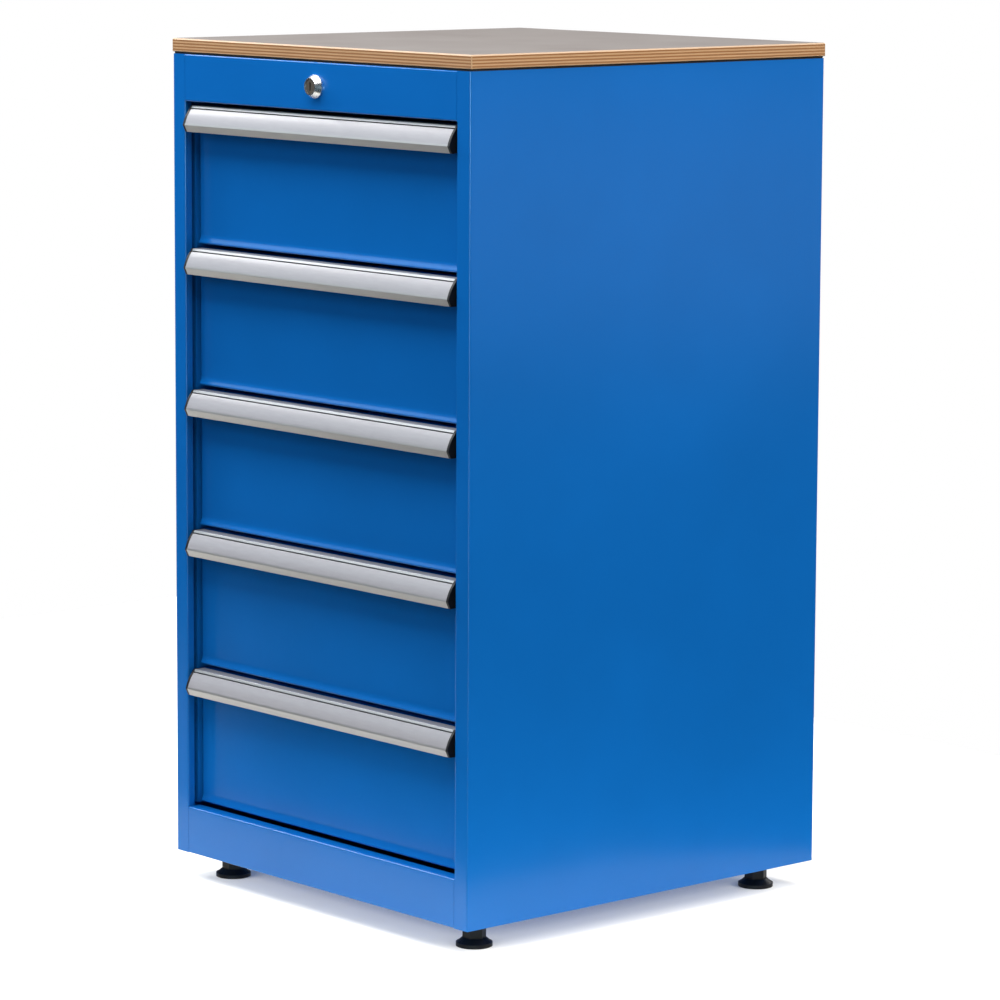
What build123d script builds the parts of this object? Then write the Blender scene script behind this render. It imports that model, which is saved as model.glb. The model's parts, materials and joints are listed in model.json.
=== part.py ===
from build123d import *
import math
import os

# Drawer tool cabinet: folded sheet-steel body, plywood worktop, five drawers, levelling feet.
# Millimetres, +Z up, the drawers open towards -Y.
# Drawn from the front lower edge of the body, then moved so that the origin is on the floor
# under the middle of the outline.

# Body
body_width = 475.0
body_depth = 485.0
body_height = 850.0
sheet = 1.2
bend = 0.4
post_width = 20.0
post_return = 8.5
rear_flange = 20.0
edge_flange = 17.0
fold_relief = 2.5
top_rail_height = 49.0
bottom_rail_height = 50.0
rail_flange = 15.5
rail_hem = 9.0
panel_fold = 8.0
back_fold = 12.0
panel_fit = 0.4

# Worktop
worktop_thickness = 16.0
worktop_overhang = 1.6
worktop_chamfer = 1.4
worktop_corner = 1.2
worktop_arris = 0.8
worktop_rebate = 2.0
worktop_rebate_depth = 2.0

# Levelling feet
foot_height = 28.0
foot_inset_x = 40.5
foot_inset_y = 44.5
foot_disc_d = 37.0
foot_rim = 3.8
foot_edge = 0.8
foot_slope = 4.8
foot_slope_sides = 24
foot_hex = 21.0
foot_stud_d = 10.0
foot_stud_rise = 16.0
foot_nut_width = 17.0
foot_nut_height = 8.0

# Drawer fronts
drawer_count = 5
front_gap = 4.5
front_side_gap = 4.0
front_recess = 17.0
front_sheet = 1.0
front_pan = 12.0
lip_height = 7.0
lip_reach = 3.0
lip_bend = 12.0
front_bend = 0.6

# Handle extrusion, measured forward of the drawer front and down from its top edge
handle_reach = 6.0
handle_height = 26.9
handle_nose = 12.5
handle_strip_run = 1.2
handle_strip_drop = 2.2
handle_tip_drop = 20.0
handle_bevel = 3.3
handle_bulge = 1.2
handle_wall = 1.6
handle_lip = 2.6
handle_back = 22.0
handle_round = 0.5
label_seat = 0.8
label_sink = 0.3
label_bed = 0.1
label_groove = 1.3
label_groove_depth = 1.6
label_lip = 2.2
cap_thickness = 3.0

# Drawer trays
tray_sheet = 1.0
tray_bend = 0.8
tray_lift = 16.0
tray_top_drop = 30.0
tray_rear_gap = 46.0
tray_return = 6.0
lock_skirt = 12.0

# Telescopic slides
slide_thickness = 12.7
slide_height = 45.0
slide_gauge = 1.2
slide_fit = 0.4
slide_lift = 9.0
slide_setback = 2.0
slide_tail = 12.0
slide_channel_depth = 8.5
slide_middle_depth = 9.0
slide_runner_depth = 7.5

# Slide uprights
upright_width = 30.0
upright_set = 13.5
upright_rise = 3.0

# Lock in the top rail, its shaft and the bar that holds the drawers
lock_bezel_d = 24.0
lock_face_d = 17.5
lock_reach = 8.0
lock_rim = 2.0
lock_barrel_d = 18.0
lock_barrel_length = 24.0
lock_plug_d = 14.6
lock_plug_sink = 0.6
lock_fit = 0.3
lock_nut_width = 24.0
lock_nut_height = 5.0
key_slot_width = 2.2
key_slot_height = 8.5
key_slot_depth = 12.0
shaft_d = 8.0
crank_radius = 9.0
crank_thickness = 4.0
crank_boss_d = 16.0
crank_end_d = 10.0
pin_d = 5.0
pin_play = 0.5
bar_thickness = 3.0
bar_width = 8.0
bar_play = 1.0
bar_side_gap = 1.5
arm_height = 22.0
arm_end = 6.0
finger_length = 16.0
finger_height = 6.0
finger_gap = 3.0
guide_height = 16.0
guide_wall = 3.0
bracket_width = 34.0
bracket_foot = 22.0
bracket_drop = 36.0

# Lines that several pieces share
half_width = body_width / 2
half_inner = half_width - sheet
half_opening = half_width - post_width
opening_bottom = bottom_rail_height
opening_top = body_height - top_rail_height
half_front = half_opening - front_side_gap
half_tray = half_opening - slide_thickness
front_height = (opening_top - opening_bottom - (drawer_count + 1) * front_gap) / drawer_count
drawer_pitch = front_height + front_gap
tray_front = front_recess + front_pan
tray_back = body_depth - 2 * sheet - tray_rear_gap
tray_height = front_height - tray_lift - tray_top_drop
slide_front = tray_front + slide_setback
slide_length = tray_back - slide_tail - slide_front
lock_z = body_height - top_rail_height / 2
crank_drop = crank_radius * math.sin(math.radians(45))
bar_rear = tray_back - tray_sheet - bar_play
bar_front = bar_rear - bar_thickness
crank_rear = bar_front - bar_play
bar_left = -half_opening + bar_side_gap
slot_z = lock_z - crank_drop


def front_bottom(index):
    """Height of the lower edge of a drawer front, counted from the top drawer."""
    return opening_top - front_gap - front_height - index * drawer_pitch


def tray_bottom(index):
    return front_bottom(index) + tray_lift


def finger_top(index):
    return tray_bottom(index) - lock_skirt - finger_gap


def slide_bottom(index):
    return tray_bottom(index) + slide_lift


# Helpers for folded sheet and plain solids
def block(x0, x1, y0, y1, z0, z1):
    return Pos((x0 + x1) / 2, (y0 + y1) / 2, (z0 + z1) / 2) * Box(x1 - x0, y1 - y0, z1 - z0)


def along_x(face, x0, length):
    return extrude(Plane.YZ.offset(x0) * face, length)


def along_y(face, y0, length):
    plane = Plane((0, y0 + length, 0), x_dir=(1, 0, 0), z_dir=(0, -1, 0))
    return extrude(plane * face, length)


def along_z(face, z0, length):
    return extrude(Plane.XY.offset(z0) * face, length)


def folded(points, gauge, radii):
    """Section of a sheet bent along the points, with its thickness to the left of the path.

    A radius of None leaves that fold sharp.
    """
    path = [Vector(x, y) for x, y in points]
    runs = [(b - a).normalized() for a, b in zip(path, path[1:])]
    sides = [Vector(-run.Y, run.X) for run in runs]
    near = [(path[0],)]
    far = [(path[0] + sides[0] * gauge,)]
    for corner, before, after, radius, turn in zip(
        path[1:-1], sides, sides[1:], radii, [a.X * b.Y - a.Y * b.X for a, b in zip(runs, runs[1:])]
    ):
        mitre = (before + after) / (1 + before.dot(after))
        if radius is None:
            near.append((corner,))
            far.append((corner + mitre * gauge,))
            continue
        reach = radius + gauge if turn > 0 else -radius
        centre = corner + mitre * reach
        middle = (before + after).normalized()
        near.append(tuple(centre - side * reach for side in (before, middle, after)))
        far.append(tuple(centre - side * (reach - gauge) for side in (before, middle, after)))
    near.append((path[-1],))
    far.append((path[-1] + sides[-1] * gauge,))
    far = [tuple(reversed(knot)) for knot in reversed(far)]
    return outline(near + far)


def outline(knots):
    """Closed face through knots: one point is a corner, three points are an arc."""
    edges = []
    for knot, following in zip(knots, knots[1:] + knots[:1]):
        if len(knot) == 3:
            edges.append(ThreePointArc(*knot))
        edges.append(Line(knot[-1], following[0]))
    return make_face(edges)


def both_sides(left):
    return [left, mirror(left, about=Plane.YZ)]


# Body panels
def side_panel_left():
    """Side folded into the front post, whose inner return is cut away behind the rails."""
    path = [
        (-half_width + rear_flange, body_depth),
        (-half_width, body_depth),
        (-half_width, 0),
        (-half_opening, 0),
    ]
    beside_rail = folded(path, sheet, [bend] * 2)
    beside_drawers = folded(path + [(-half_opening, post_return)], sheet, [bend] * 3)
    panel = along_z(beside_drawers, opening_bottom, opening_top - opening_bottom)
    panel += along_z(beside_rail, 0, bottom_rail_height)
    panel += along_z(beside_rail, opening_top, top_rail_height)
    flange_front = post_return + fold_relief
    flange_back = body_depth - sheet - fold_relief
    for z0 in (0, body_height - sheet):
        panel += block(-half_width, -half_width + edge_flange, flange_front, flange_back, z0, z0 + sheet)
    return panel


def back_panel():
    rear = body_depth - sheet
    section = folded(
        [
            (half_inner, rear - back_fold),
            (half_inner, rear),
            (-half_inner, rear),
            (-half_inner, rear - back_fold),
        ],
        sheet,
        [bend] * 2,
    )
    return along_z(section, sheet, body_height - 2 * sheet)


def deck(level, fold):
    """Horizontal panel with its front and rear edges folded, upwards when fold is positive."""
    start = post_return + fold_relief
    end = body_depth - 2 * sheet
    points = [(start, level + fold), (start, level), (end, level), (end, level + fold)]
    if fold < 0:
        points = points[::-1]
    half = half_inner - sheet - panel_fit
    return along_x(folded(points, sheet, [None] * 2), -half, 2 * half)


def foot_places():
    x = half_width - foot_inset_x
    return [
        ("front_left", -x, foot_inset_y),
        ("front_right", x, foot_inset_y),
        ("rear_left", -x, body_depth - foot_inset_y),
        ("rear_right", x, body_depth - foot_inset_y),
    ]


def base_panel():
    panel = deck(sheet, panel_fold + sheet)
    for _, x, y in foot_places():
        panel -= Pos(x, y, 1.5 * sheet) * Cylinder(foot_stud_d / 2 + 2 * panel_fit, 2 * sheet)
    return panel


def top_panel():
    return deck(body_height - sheet, -panel_fold - sheet)


def between_posts(section):
    """Rail that stops short of both posts by the fit of a welded seam."""
    half = half_opening - panel_fit
    return along_x(section, -half, 2 * half)


def top_rail():
    section = folded(
        [
            (rail_flange, body_height),
            (0, body_height),
            (0, opening_top),
            (rail_flange, opening_top),
            (rail_flange, opening_top + rail_hem),
        ],
        sheet,
        [bend, bend, None],
    )
    rail = between_posts(section)
    hole = Pos(0, 0, lock_z) * Rot(X=90) * Cylinder(lock_barrel_d / 2 + lock_fit, 4 * sheet)
    return rail - hole


def bottom_rail():
    section = folded(
        [
            (rail_flange, opening_bottom - rail_hem),
            (rail_flange, opening_bottom),
            (0, opening_bottom),
            (0, 0),
            (rail_flange, 0),
        ],
        sheet,
        [None, bend, bend],
    )
    return between_posts(section)


def upright_pair(start, low):
    section = folded(
        [
            (-half_inner, start),
            (-half_opening, start),
            (-half_opening, start + upright_width),
            (-half_inner, start + upright_width),
        ],
        sheet,
        [None] * 2,
    )
    return both_sides(along_z(section, low, body_height - 2 * sheet - low))


def worktop():
    """Board with eased edges, rebated below so that it stands off the body in a thin shadow line."""
    half = half_width + worktop_overhang
    low = body_height + worktop_rebate
    board = block(-half, half, 0, body_depth, low, body_height + worktop_thickness)
    board = chamfer(board.faces().sort_by(Axis.Z)[-1].edges(), worktop_chamfer)
    board = chamfer(board.faces().sort_by(Axis.Z)[0].edges(), worktop_arris)
    board = fillet(board.edges().filter_by(Axis.Z), worktop_corner)
    inset = worktop_rebate_depth
    return board + block(-half + inset, half - inset, inset, body_depth - inset, body_height, low)


# Levelling feet
def foot():
    """Round disc with a sloping top, hexagon sleeve and stud, standing on its sole."""
    disc = foot_disc_d / 2
    hexagon = RegularPolygon(foot_hex / 2, 6, major_radius=False)
    shoulder = foot_rim + foot_slope
    wide = RegularPolygon(disc - foot_edge, foot_slope_sides)
    run = (disc - foot_edge - foot_hex / math.sqrt(3)) * math.cos(math.pi / foot_slope_sides)
    lean = math.degrees(math.atan2(run, foot_slope))
    solid = along_z(Circle(disc), 0, foot_rim)
    solid += extrude(Plane.XY.offset(foot_rim) * wide, foot_slope, taper=lean)
    solid += along_z(hexagon, shoulder, foot_height + sheet - shoulder)
    solid += along_z(Circle(foot_stud_d / 2), foot_height + sheet, foot_stud_rise - sheet)
    return Pos(0, 0, -foot_height) * solid


def hex_nut(width, height, bore):
    nut = extrude(RegularPolygon(width / 2, 6, major_radius=False), height)
    return nut - Cylinder(bore / 2, 3 * height)


# Drawers
def drawer_front(index):
    low = front_bottom(index)
    high = low + front_height
    face = front_recess
    section = folded(
        [
            (face + front_pan, high),
            (face, high),
            (face, low + lip_height),
            (face - lip_reach, low),
            (face + front_pan, low),
        ],
        front_sheet,
        [None, lip_bend, front_bend],
    )
    panel = along_x(section, -half_front, 2 * half_front)
    for x in (-half_front, half_front - front_sheet):
        panel += block(
            x,
            x + front_sheet,
            face + front_sheet / 2,
            face + front_pan,
            low + front_sheet / 2,
            high - front_sheet / 2,
        )
    return panel


def tray(index):
    low = tray_bottom(index)
    high = low + tray_height
    section = folded(
        [
            (-half_tray + tray_return, high),
            (-half_tray, high),
            (-half_tray, low),
            (half_tray, low),
            (half_tray, high),
            (half_tray - tray_return, high),
        ],
        tray_sheet,
        [None, tray_bend, tray_bend, None],
    )
    box = along_y(section, tray_front, tray_back - tray_front)
    front_low = front_bottom(index)
    front_high = front_low + front_height
    box += block(-half_front, half_front, tray_front, tray_front + tray_sheet, front_low, front_high)
    half = half_tray - tray_sheet / 2
    rear_high = high - tray_sheet / 2
    box += block(-half, half, tray_back - tray_sheet, tray_back, low - lock_skirt, rear_high)
    return box


# Handle section: forward distance from the drawer front and height below its top edge
strip_end = Vector(handle_nose + handle_strip_run, -handle_strip_drop)
tip = Vector(front_recess + handle_reach, -handle_tip_drop)
face_chord = (tip - strip_end).length
face_radius = (face_chord**2 / 4 + handle_bulge**2) / (2 * handle_bulge)
face_out = Vector(strip_end.Y - tip.Y, tip.X - strip_end.X).normalized()
face_centre = (strip_end + tip) / 2 - face_out * (face_radius - handle_bulge)
face_start = math.atan2(strip_end.Y - face_centre.Y, strip_end.X - face_centre.X)
face_end = math.atan2(tip.Y - face_centre.Y, tip.X - face_centre.X)
label_start = label_groove / face_chord
label_end = 1 - label_lip / face_chord


def on_face(depth, share):
    """Point below the curved face by a depth, at a share of the way from strip to tip."""
    angle = face_start + (face_end - face_start) * share
    return face_centre + Vector(math.cos(angle), math.sin(angle)) * (face_radius - depth)


def face_arc(depth, start, end):
    return tuple(on_face(depth, share) for share in (start, (start + end) / 2, end))


def handle_solid(knots, x0, length, top):
    """Section given forward and down, extruded along the drawer front."""
    turned = [tuple(Vector(front_recess - p.X, top + p.Y) for p in knot) for knot in knots]
    return along_x(outline(turned), x0, length)


def handle_heel():
    return Vector(tip.X - handle_bevel, -handle_height)


def handle(top):
    inner = label_seat + handle_wall
    heel = handle_heel()
    knots = [
        (Vector(0, 0),),
        (Vector(handle_nose, 0),),
        (strip_end,),
        (on_face(label_groove_depth, 0),),
        (on_face(label_groove_depth, label_start),),
        face_arc(label_seat, label_start, label_end),
        face_arc(0, label_end, 1),
        (heel,),
        (heel - Vector(handle_lip, 0),),
        face_arc(inner, 1, 0.15),
        (Vector(handle_nose - handle_wall, -handle_wall),),
        (Vector(handle_wall, -handle_wall),),
        (Vector(handle_wall, -handle_back),),
        (Vector(0, -handle_back),),
    ]
    length = 2 * (half_front - cap_thickness)
    solid = handle_solid(knots, -length / 2, length, top)
    rounded = []
    for corner in (Vector(handle_nose, 0), tip, heel):
        place = (0, front_recess - corner.X, top + corner.Y)
        rounded.append(solid.edges().filter_by(Axis.X).sort_by_distance(place)[0])
    return fillet(rounded, handle_round)


def label(top):
    back = face_arc(label_seat - label_bed, label_end, label_start)
    half = half_front - cap_thickness
    front = face_arc(label_sink, label_start, label_end)
    return handle_solid([front, back], -half, 2 * half, top)


def caps(top):
    knots = [
        (Vector(0, 0),),
        (Vector(handle_nose, 0),),
        (strip_end,),
        face_arc(0, 0, 1),
        (handle_heel(),),
        (Vector(0, -handle_height),),
    ]
    return both_sides(handle_solid(knots, -half_front, cap_thickness, top))


# Telescopic slides: channel on the upright, middle member, runner on the tray
def slide_pair(back, depth, low, high):
    """Two rolled C sections, from the back of the left one to the free edges of its flanges."""
    web = back + math.copysign(slide_gauge, depth)
    points = [
        (back, low),
        (back + depth, low),
        (back + depth, low + slide_gauge),
        (web, low + slide_gauge),
        (web, high - slide_gauge),
        (back + depth, high - slide_gauge),
        (back + depth, high),
        (back, high),
    ]
    section = outline([(point,) for point in points])
    return both_sides(along_y(section, slide_front, slide_length))


def channel_pair(low):
    return slide_pair(-half_opening, slide_channel_depth, low, low + slide_height)


def middle_pair(low):
    back = -half_opening + slide_gauge + slide_fit
    high = low + slide_height - slide_gauge - slide_fit
    return slide_pair(back, slide_middle_depth, low + slide_gauge, high)


def runner_pair(low):
    high = low + slide_height - 2 * slide_gauge - 2 * slide_fit
    return slide_pair(-half_tray, -slide_runner_depth, low + 2 * slide_gauge, high)


# Lock: housing through the top rail, turning plug and shaft, crank pin that lifts the bar
def turned(points):
    """Solid of revolution about the lock axis from radius and depth pairs."""
    profile = outline([(point,) for point in points])
    return Pos(0, 0, lock_z) * revolve(profile, Axis.Y)


def lock_housing():
    bore = lock_plug_d / 2 + lock_fit
    return turned(
        [
            (bore, -lock_reach),
            (lock_face_d / 2, -lock_reach),
            (lock_bezel_d / 2, -lock_rim),
            (lock_bezel_d / 2, 0),
            (lock_barrel_d / 2, 0),
            (lock_barrel_d / 2, lock_barrel_length),
            (bore, lock_barrel_length),
        ]
    )


def lock_nut():
    nut = hex_nut(lock_nut_width, lock_nut_height, lock_barrel_d + 2 * lock_fit)
    return Pos(0, sheet + lock_nut_height, lock_z) * Rot(X=90) * nut


def lock_plug():
    radius = lock_plug_d / 2
    face = lock_plug_sink - lock_reach
    plug = turned([(0, face), (radius, face), (radius, lock_barrel_length), (0, lock_barrel_length)])
    half = key_slot_width / 2
    low = lock_z - key_slot_height / 2
    return plug - block(-half, half, face - 1, face + key_slot_depth, low, low + key_slot_height)


def lock_shaft():
    plate_front = crank_rear - crank_thickness
    rod = turned(
        [
            (0, lock_barrel_length),
            (shaft_d / 2, lock_barrel_length),
            (shaft_d / 2, plate_front),
            (0, plate_front),
        ]
    )
    pin_place = Pos(-crank_drop, lock_z - crank_drop)
    rims = Pos(0, lock_z) * Circle(crank_boss_d / 2) + pin_place * Circle(crank_end_d / 2)
    crank = along_y(make_hull(rims.edges()), plate_front, crank_thickness)
    pin = along_y(pin_place * Circle(pin_d / 2), crank_rear, bar_rear + bar_play - crank_rear)
    return rod + crank + pin


def lock_bar():
    low = finger_top(drawer_count - 1) - finger_height
    high = slot_z + arm_height / 2
    bar = block(bar_left, bar_left + bar_width, bar_front, bar_rear, low, high)
    bar += block(bar_left, arm_end, bar_front, bar_rear, high - arm_height, high)
    reach = bar_left + bar_width + finger_length
    for index in range(drawer_count):
        top = finger_top(index)
        bar += block(bar_left, reach, bar_front, bar_rear, top - finger_height, top)
    half = pin_d / 2 + pin_play
    slot = block(
        -crank_radius - half,
        -crank_drop + half,
        bar_front - 1,
        bar_rear + 1,
        slot_z - half,
        slot_z + half,
    )
    return bar - slot


def lock_bracket():
    rear = crank_rear - crank_thickness - bar_play
    top = body_height - 2 * sheet
    section = folded(
        [(rear, top - bracket_drop), (rear, top), (rear - bracket_foot, top)],
        sheet,
        [None],
    )
    bracket = along_x(section, -bracket_width / 2, bracket_width)
    bore = Pos(0, rear, lock_z) * Rot(X=90) * Cylinder(shaft_d / 2 + lock_fit, 4 * sheet)
    return bracket - bore


def lock_bar_guides():
    inner = bar_left + bar_width + slide_fit
    guides = []
    for index in (0, drawer_count - 2):
        low = finger_top(index) - drawer_pitch / 2
        guide = block(
            -half_inner,
            inner + guide_wall / 2,
            bar_front - guide_wall,
            bar_rear + guide_wall,
            low,
            low + guide_height,
        )
        guide -= block(
            bar_left - slide_fit,
            inner,
            bar_front - slide_fit,
            bar_rear + slide_fit,
            low - 1,
            low + guide_height + 1,
        )
        guides.append(guide)
    return guides


# All the pieces by name
left_side = side_panel_left()
slide_rear = slide_front + slide_length
pieces = {
    "side_panel_left": [left_side],
    "side_panel_right": [mirror(left_side, about=Plane.YZ)],
    "back_panel": [back_panel()],
    "base_panel": [base_panel()],
    "top_panel": [top_panel()],
    "top_rail": [top_rail()],
    "bottom_rail": [bottom_rail()],
    "uprights_front": upright_pair(upright_set, opening_bottom + upright_rise),
    "uprights_rear": upright_pair(slide_rear - upright_width - slide_tail, 2 * sheet),
    "worktop": [worktop()],
    "lock_housing": [lock_housing()],
    "lock_nut": [lock_nut()],
    "lock_plug": [lock_plug()],
    "lock_shaft": [lock_shaft()],
    "lock_bar": [lock_bar()],
    "lock_bracket": [lock_bracket()],
    "lock_bar_guides": lock_bar_guides(),
}

pieces["slide_channels"] = []
for index in range(drawer_count):
    name = f"drawer_{index + 1}_"
    top = front_bottom(index) + front_height
    pieces["slide_channels"] += channel_pair(slide_bottom(index))
    pieces[name + "slide_middles"] = middle_pair(slide_bottom(index))
    pieces[name + "slide_runners"] = runner_pair(slide_bottom(index))
    pieces[name + "tray"] = [tray(index)]
    pieces[name + "front"] = [drawer_front(index)]
    pieces[name + "handle"] = [handle(top)]
    pieces[name + "label"] = [label(top)]
    pieces[name + "handle_caps"] = caps(top)

foot_nut = hex_nut(foot_nut_width, foot_nut_height, foot_stud_d + 2 * panel_fit)
pieces["foot_nuts"] = []
for place, x, y in foot_places():
    pieces["foot_" + place] = [Pos(x, y, 0) * foot()]
    pieces["foot_nuts"].append(Pos(x, y, 2 * sheet) * foot_nut)

# Origin on the floor under the middle of the outline
home = Pos(0, (max(handle_reach, lock_reach) - body_depth) / 2, foot_height)
os.makedirs("parts", exist_ok=True)
for name, solids in pieces.items():
    shape = solids[0] if len(solids) == 1 else Compound(children=solids)
    export_step(home * shape, f"parts/{name}.step")
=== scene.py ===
import json
import math

import bpy
from mathutils import Matrix, Vector


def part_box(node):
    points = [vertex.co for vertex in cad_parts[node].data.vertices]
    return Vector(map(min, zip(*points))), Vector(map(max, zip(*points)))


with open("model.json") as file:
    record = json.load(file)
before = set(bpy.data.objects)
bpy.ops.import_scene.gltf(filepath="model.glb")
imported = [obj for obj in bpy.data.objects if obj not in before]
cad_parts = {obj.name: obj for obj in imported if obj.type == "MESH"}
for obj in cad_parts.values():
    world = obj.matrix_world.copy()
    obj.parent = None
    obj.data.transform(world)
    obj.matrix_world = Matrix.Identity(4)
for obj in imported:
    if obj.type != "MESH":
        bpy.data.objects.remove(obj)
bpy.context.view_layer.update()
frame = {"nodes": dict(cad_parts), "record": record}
nodes = frame["nodes"]
scene = bpy.context.scene
scene.view_settings.view_transform = "Standard"

WHITE = (1.0, 1.0, 1.0)

# Sockets of a colour mix node
MIX_FACTOR, MIX_FIRST, MIX_SECOND, MIX_RESULT = 0, 6, 7, 2


# Node helpers
class Look:
    """A material with its shader, and short calls for the nodes that feed it."""

    def __init__(self, name, **sockets):
        self.material = bpy.data.materials.new(name)
        self.material.use_nodes = True
        self.tree = self.material.node_tree
        self.shader = self.tree.nodes["Principled BSDF"]
        for socket, value in sockets.items():
            self.shader.inputs[socket.replace("_", " ")].default_value = value
        self.place = self.node("ShaderNodeTexCoord").outputs["Object"]

    def node(self, kind, **settings):
        made = self.tree.nodes.new(kind)
        for key, value in settings.items():
            setattr(made, key, value)
        return made

    def link(self, source, target):
        self.tree.links.new(source, target)

    def feed(self, made, inputs):
        for key, value in inputs.items():
            if isinstance(value, bpy.types.NodeSocket):
                self.link(value, made.inputs[key])
            else:
                made.inputs[key].default_value = value
        return made

    def stretched(self, x, y, z):
        """The place in the part's frame, stretched along each axis."""
        made = self.node("ShaderNodeMapping")
        self.feed(made, {"Vector": self.place, "Scale": (x, y, z)})
        return made.outputs["Vector"]

    def noise(self, scale, detail=2.0, rough=0.5, at=None):
        made = self.node("ShaderNodeTexNoise")
        self.feed(made, {
            "Vector": at or self.place, "Scale": scale, "Detail": detail, "Roughness": rough,
        })
        return made.outputs["Fac"]

    def cells(self, scale):
        made = self.node("ShaderNodeTexVoronoi")
        self.feed(made, {"Vector": self.place, "Scale": scale})
        return made.outputs["Color"]

    def spread(self, value, low, high, start=0.0, end=1.0):
        """A value from start to end becomes one from low to high."""
        made = self.node("ShaderNodeMapRange")
        self.feed(made, {
            "Value": value, "From Min": start, "From Max": end, "To Min": low, "To Max": high,
        })
        return made.outputs["Result"]

    def ramp(self, value, stops, constant=False):
        """A value becomes a colour; each stop is a position and its colour."""
        made = self.node("ShaderNodeValToRGB")
        self.link(value, made.inputs["Fac"])
        if constant:
            made.color_ramp.interpolation = "CONSTANT"
        elements = made.color_ramp.elements
        while len(elements) < len(stops):
            elements.new(0.5)
        for element, (position, colour) in zip(elements, stops):
            element.position = position
            element.color = (*colour, 1.0)
        return made.outputs["Color"]

    def mix(self, factor, first, second):
        made = self.node("ShaderNodeMix", data_type="RGBA")
        self.feed(made, {MIX_FACTOR: factor})
        for index, value in ((MIX_FIRST, first), (MIX_SECOND, second)):
            if isinstance(value, bpy.types.NodeSocket):
                self.link(value, made.inputs[index])
            else:
                made.inputs[index].default_value = (*value, 1.0)
        return made.outputs[MIX_RESULT]

    def math(self, operation, first, second=0.0):
        made = self.node("ShaderNodeMath", operation=operation)
        self.feed(made, {0: first, 1: second})
        return made.outputs[0]

    def axes(self, vector):
        made = self.node("ShaderNodeSeparateXYZ")
        self.link(vector, made.inputs[0])
        return made.outputs

    def colour(self, value):
        self.link(value, self.shader.inputs["Base Color"])

    def roughness(self, value):
        self.link(value, self.shader.inputs["Roughness"])

    def bump(self, *layers):
        """Each layer is a height and its depth in metres."""
        below = None
        for height, depth in layers:
            made = self.node("ShaderNodeBump")
            self.feed(made, {"Height": height, "Distance": depth, "Strength": 1.0})
            if below is not None:
                self.link(below, made.inputs["Normal"])
            below = made.outputs["Normal"]
        self.link(below, self.shader.inputs["Normal"])


def shade(colour, factor):
    return tuple(channel * factor for channel in colour)


# Materials: noise scales are per metre, bump depths in metres
def powder_coat(name, colour):
    peel_depth = 0.000012
    look = Look(name, Specular_IOR_Level=0.27)
    tone = look.noise(scale=5.0, detail=3.0)
    look.colour(look.ramp(tone, [(0.3, shade(colour, 0.95)), (0.7, shade(colour, 1.05))]))
    peel = look.noise(scale=620.0, detail=1.5)
    look.roughness(look.spread(look.noise(scale=240.0), low=0.16, high=0.22))
    look.bump((peel, peel_depth))
    return look.material


def plywood():
    """Film on top, plies on the edges with painted shade in the rebate below, bare wood on the
    worn arrises and a painted highlight down the vertical corners.
    """
    plies = 9
    rebate_height = 0.002
    rebate_margin = 0.0001
    ply_wander = 0.012
    top_slope = 0.9
    arris_slope = 0.4
    corner_turn = 0.2
    pore_depth = 0.00006
    fleck_depth = 0.00003
    # Pale colour on the vertical corners in place of the plies: a painted highlight
    corner_highlight_colour = (0.60, 0.36, 0.18)
    # Near black for the rebate under the board: painted shade of the gap
    rebate_shade_colour = (0.016, 0.012, 0.010)
    fleck_colour = (0.25, 0.21, 0.19)

    low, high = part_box("worktop")
    rebate_top = low.z + rebate_height
    look = Look("worktop_plywood", Specular_IOR_Level=0.4)
    x, y, z = look.axes(look.place)
    along = look.math("ADD", x, y)

    def on_edge(along_scale, up_scale):
        made = look.node("ShaderNodeCombineXYZ")
        across = look.math("MULTIPLY", along, along_scale)
        look.feed(made, {0: across, 2: look.math("MULTIPLY", z, up_scale)})
        return made.outputs[0]

    grain = look.noise(scale=1.0, detail=4.0, rough=0.6, at=on_edge(30.0, 2200.0))
    pores = look.noise(scale=1.0, detail=2.0, rough=0.6, at=on_edge(1500.0, 1500.0))
    wander = look.spread(look.noise(scale=14.0), low=-ply_wander, high=ply_wander)
    height = look.spread(z, low=0.0, high=1.0, start=rebate_top, end=high.z)
    level = look.math("ADD", height, wander)
    # Painted shade: the rebate under the board is coloured near black
    rebate_shade_mask = look.math("LESS_THAN", z, rebate_top + rebate_margin)
    bands = look.ramp(
        level, [(ply / plies, (ply % 2,) * 3) for ply in range(plies)], constant=True
    )
    pale = look.ramp(grain, [(0.3, (0.50, 0.28, 0.13)), (0.7, (0.66, 0.40, 0.21))])
    dark = look.ramp(pores, [(0.3, (0.26, 0.105, 0.030)), (0.7, (0.40, 0.18, 0.060))])
    edge = look.mix(bands, pale, dark)
    fleck = look.noise(scale=900.0)
    cloud = look.noise(scale=9.0, detail=4.0)
    film = look.ramp(cloud, [(0.3, (0.199, 0.178, 0.169)), (0.7, (0.233, 0.214, 0.204))])
    speckled = look.spread(fleck, low=0.0, high=0.30, start=0.55, end=0.75)
    film = look.mix(speckled, film, fleck_colour)
    across, ahead, up = look.axes(look.node("ShaderNodeTexCoord").outputs["Normal"])
    corner = look.math("ABSOLUTE", look.math("MULTIPLY", across, ahead))
    worn = look.math("GREATER_THAN", up, arris_slope)
    # The vertical corners get a painted highlight in a flat pale colour
    corner_highlight_mask = look.math("GREATER_THAN", corner, corner_turn)
    bare = look.ramp(pores, [(0.3, (0.42, 0.285, 0.18)), (0.7, (0.49, 0.345, 0.23))])
    edge = look.mix(corner_highlight_mask, edge, corner_highlight_colour)
    edge = look.mix(worn, edge, bare)
    edge = look.mix(rebate_shade_mask, edge, rebate_shade_colour)
    top = look.math("GREATER_THAN", up, top_slope)
    look.colour(look.mix(top, edge, film))
    look.roughness(look.spread(top, low=0.62, high=0.36))
    look.bump((pores, pore_depth), (fleck, fleck_depth))
    return look.material


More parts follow.
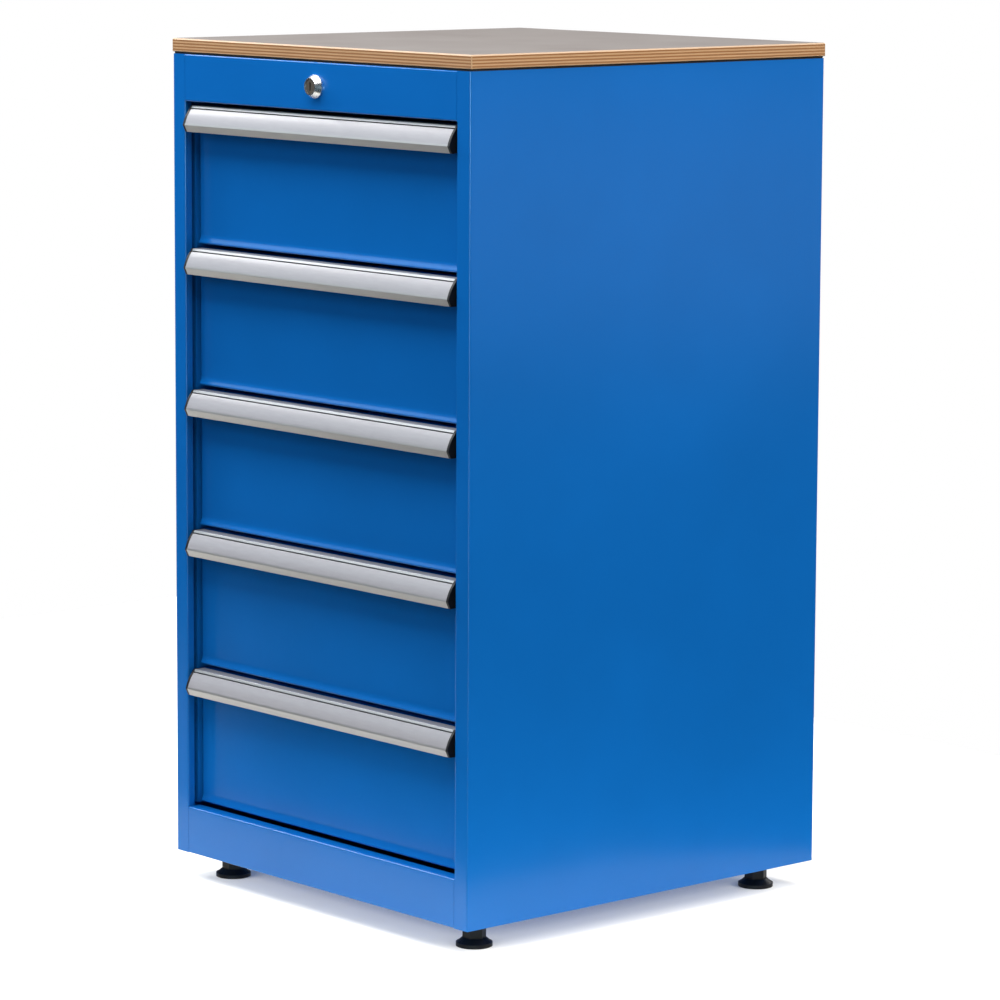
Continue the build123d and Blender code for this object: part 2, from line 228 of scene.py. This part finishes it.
def extruded(name, colour, roughness):
    """Drawn along x, with painted shade in the narrow grooves."""
    groove_reach = 0.0025
    # How dark the grooves are painted: painted shade, not dirt
    groove_shade = 0.06
    uneven = 0.06
    streak_depth = 0.000012
    look = Look(name, Metallic=0.6)
    drawn = look.stretched(6.0, 900.0, 900.0)
    streaks = look.noise(scale=1.0, detail=3.0, rough=0.6, at=drawn)
    tone = look.ramp(streaks, [(0.25, shade(colour, 0.93)), (0.75, shade(colour, 1.04))])
    # Ambient occlusion darkens the narrow grooves: painted shade
    shut = look.node("ShaderNodeAmbientOcclusion", samples=8)
    look.feed(shut, {"Distance": groove_reach})
    unshaded_share = look.spread(shut.outputs["AO"], low=0.0, high=1.0, start=0.35, end=0.75)
    look.colour(look.mix(unshaded_share, shade(colour, groove_shade), tone))
    look.roughness(look.spread(streaks, low=roughness - uneven, high=roughness + uneven))
    look.bump((streaks, streak_depth))
    return look.material


def zinc():
    grain_depth = 0.00001
    look = Look("zinc_steel", Metallic=1.0)
    spangle = look.cells(scale=220.0)
    haze = look.noise(scale=40.0, detail=4.0)
    flakes = look.ramp(spangle, [(0.0, (0.42, 0.43, 0.45)), (1.0, (0.62, 0.63, 0.65))])
    look.colour(look.mix(haze, flakes, (0.52, 0.53, 0.55)))
    look.roughness(look.spread(haze, low=0.30, high=0.46))
    look.bump((look.noise(scale=500.0), grain_depth))
    return look.material


def label_strip():
    fibre_depth = 0.000004
    look = Look("label_strip", Specular_IOR_Level=0.2, Coat_Weight=0.08, Coat_Roughness=0.10)
    laid = look.stretched(60.0, 400.0, 400.0)
    fibre = look.noise(scale=1.0, detail=3.0, rough=0.6, at=laid)
    look.colour(look.ramp(fibre, [(0.25, (0.335, 0.33, 0.355)), (0.75, (0.365, 0.36, 0.385))]))
    look.roughness(look.spread(fibre, low=0.26, high=0.34))
    look.bump((fibre, fibre_depth))
    return look.material


def moulded(name, colour, roughness):
    grain_depth = 0.00003
    look = Look(name, Specular_IOR_Level=0.22)
    grain = look.noise(scale=1600.0)
    scuff = look.noise(scale=60.0, detail=4.0)
    look.colour(look.ramp(scuff, [(0.3, colour), (0.75, shade(colour, 1.6))]))
    look.roughness(look.spread(scuff, low=roughness - 0.06, high=roughness + 0.08))
    look.bump((grain, grain_depth))
    return look.material


def polished(name, colour, low, high, metallic=1.0):
    scratch_depth = 0.000004
    look = Look(name, Metallic=metallic)
    smear = look.noise(scale=320.0, detail=4.0)
    look.colour(look.ramp(smear, [(0.3, shade(colour, 0.94)), (0.7, colour)]))
    look.roughness(look.spread(smear, low, high))
    look.bump((look.noise(scale=900.0), scratch_depth))
    return look.material


blue = (0.0038, 0.148, 0.520)
aluminium = (0.41, 0.405, 0.41)
black = (0.006, 0.006, 0.007)
chrome = (0.80, 0.80, 0.81)
nickel = (0.20, 0.17, 0.14)
finishes = {
    "blue_paint": powder_coat("blue_powder_coat", blue),
    "plywood": plywood(),
    "handle_aluminium": extruded("handle_aluminium", aluminium, roughness=0.40),
    "label_clear": label_strip(),
    "black_plastic": moulded("black_plastic", black, roughness=0.48),
    "zinc_steel": zinc(),
    "chrome": polished("lock_chrome", chrome, low=0.22, high=0.32),
    "lock_brass": polished("lock_plug_nickel", nickel, low=0.25, high=0.40, metallic=0.55),
}
for row in frame["record"]["subparts"]:
    slots = nodes[row["node"]].data.materials
    slots.clear()
    slots.append(finishes[row["material_slot"]])


# Floor
def floor(name, corners, sink, tones, glow, seen):
    """A sheet of floor: either seen, or lighting the object and mirrored in it."""
    mesh = bpy.data.meshes.new(name)
    mesh.from_pydata([(x, y, 0) for x, y in corners], [], [range(len(corners))])
    made = bpy.data.objects.new(name, mesh)
    made.location.z = -sink
    made.visible_camera = seen
    made.visible_glossy = made.visible_diffuse = made.visible_shadow = not seen
    scene.collection.objects.link(made)
    look = Look(name + "_white", Specular_IOR_Level=0.0, Roughness=0.9, Emission_Strength=glow)
    look.shader.inputs["Emission Color"].default_value = (*WHITE, 1.0)
    look.colour(look.ramp(look.noise(scale=2.0), list(enumerate(tones))))
    mesh.materials.append(look.material)
    return made


# Light
def softbox(name, place, aim, width, height, power, colour=WHITE, glint=False, only=None):
    """An area light; a glint shows in gloss alone, and one with a target lights nothing else."""
    data = bpy.data.lights.new(name, "AREA")
    data.shape = "RECTANGLE"
    data.size = width
    data.size_y = height
    data.energy = power
    data.color = colour
    made = bpy.data.objects.new(name, data)
    scene.collection.objects.link(made)
    made.visible_diffuse = not glint
    made.location = place
    made.rotation_euler = (Vector(aim) - Vector(place)).to_track_quat("-Z", "Y").to_euler()
    if only:
        made.visible_glossy = False
        made.light_linking.receiver_collection = only


def white_room(glow):
    """Dim light from all round, with a white background behind the object."""
    world = bpy.data.worlds.new("studio")
    scene.world = world
    world.use_nodes = True
    tree = world.node_tree
    dim = tree.nodes["Background"]
    dim.inputs["Color"].default_value = (*WHITE, 1.0)
    dim.inputs["Strength"].default_value = glow
    white = tree.nodes.new("ShaderNodeBackground")
    white.inputs["Color"].default_value = (*WHITE, 1.0)
    path = tree.nodes.new("ShaderNodeLightPath")
    choose = tree.nodes.new("ShaderNodeMixShader")
    tree.links.new(path.outputs["Is Camera Ray"], choose.inputs["Fac"])
    tree.links.new(dim.outputs["Background"], choose.inputs[1])
    tree.links.new(white.outputs["Background"], choose.inputs[2])
    tree.links.new(choose.outputs["Shader"], tree.nodes["World Output"].inputs["Surface"])


# Camera at the photograph's place
def camera(place, azimuth, pitch, roll, lens, shift):
    turn, dip, tilt = (math.radians(angle) for angle in (azimuth, pitch, roll))
    flat = math.cos(dip)
    ahead = Vector((-math.sin(turn) * flat, math.cos(turn) * flat, -math.sin(dip)))
    level = Vector((math.cos(turn), math.sin(turn), 0))
    rise = level.cross(ahead)
    right = level * math.cos(tilt) + rise * math.sin(tilt)
    up = rise * math.cos(tilt) - level * math.sin(tilt)
    data = bpy.data.cameras.new("camera")
    data.sensor_width = 36.0
    data.lens = lens
    data.shift_y = shift
    made = bpy.data.objects.new("camera", data)
    scene.collection.objects.link(made)
    axes = Matrix((right, up, -ahead)).transposed().to_4x4()
    made.matrix_world = Matrix.Translation(place) @ axes
    scene.camera = made


# The mirrored sheet lies just below the seen one, and is narrower at the right
floor_left, floor_right, floor_front, floor_back = -1.65, 1.00, -1.20, 0.90
mirrored = [
    (floor_left, -0.92), (-1.20, -0.90), (-0.55, -0.46), (0.47, -0.46),
    (0.47, 0.18), (0.34, 0.40), (0.34, floor_back), (floor_left, floor_back),
]
whole = [
    (floor_right, floor_back), (floor_left, floor_back),
    (floor_left, floor_front), (floor_right, floor_front),
]
mirrored_tones = [(0.75, 0.72, 0.63), (0.77, 0.74, 0.65)]
seen_tones = [(0.88, 0.86, 0.80), (0.90, 0.88, 0.82)]
floor("bounce", mirrored, sink=0.0010, tones=mirrored_tones, glow=0.33, seen=False)
ground = bpy.data.collections.new("ground")
ground.objects.link(floor("floor", whole, sink=0.0003, tones=seen_tones, glow=0.10, seen=True))

# Soft light from above and from each side
cool = (0.80, 0.88, 1.0)
cyan = (0.75, 0.95, 1.0)
softbox("overhead", (0.3, -0.70, 3.1), (0.3, -0.60, 0.5), width=4.4, height=3.0, power=205.0)
softbox("front", (-0.5, -1.9, 1.35), (0.0, -0.2, 0.8), 1.4, 1.2, power=9.5, colour=cool)
softbox("front_left", (-2.0, -1.6, 1.9), (0.0, -0.2, 0.6), 0.7, 1.2, power=7.5, colour=cyan)
softbox("left", (-2.3, -0.6, 2.2), (0.0, -0.2, 0.5), 0.9, 0.9, power=44.0)
softbox("right", (3.0, 0.9, 2.5), (0.2, 0.0, 0.6), 1.2, 1.2, power=68.0)
softbox("far_right", (3.24, 2.60, 0.42), (0.24, 0.0, 0.6), 1.5, 0.5, power=1.8)
softbox("back", (-0.1, 2.9, 1.6), (0.0, 0.2, 0.5), 1.6, 1.2, power=36.0)
softbox("low_front", (3.2, -3.6, -0.05), (0.24, -0.24, 0.3), 3.0, 0.9, power=17.0)

# Bright line down the front right bend
bend = dict(colour=(0.45, 0.82, 1.0), glint=True)
softbox("edge", (2.26, -2.72, 0.66), (0.24, -0.24, 0.8), 0.6, 0.35, power=46.0, **bend)
softbox("low_edge", (2.26, -2.72, -0.15), (0.24, -0.24, 0.5), 0.6, 1.1, power=16.0, **bend)

# Low light on the floor alone, which softens the shadow under the body
skim = dict(width=3.0, height=0.95, power=85.0, colour=(1.0, 0.96, 0.88), only=ground)
softbox("skim_front", (-0.4, -2.55, 0.86), (-0.4, 0.0, 0.86), **skim)
softbox("skim_right", (2.55, 0.0, 0.86), (0.0, 0.0, 0.86), **skim)

white_room(glow=0.02)
camera(
    (3.4089, -2.98255, 1.0840),
    azimuth=48.719, pitch=7.804, roll=0.281, lens=156.29, shift=-0.0491,
)
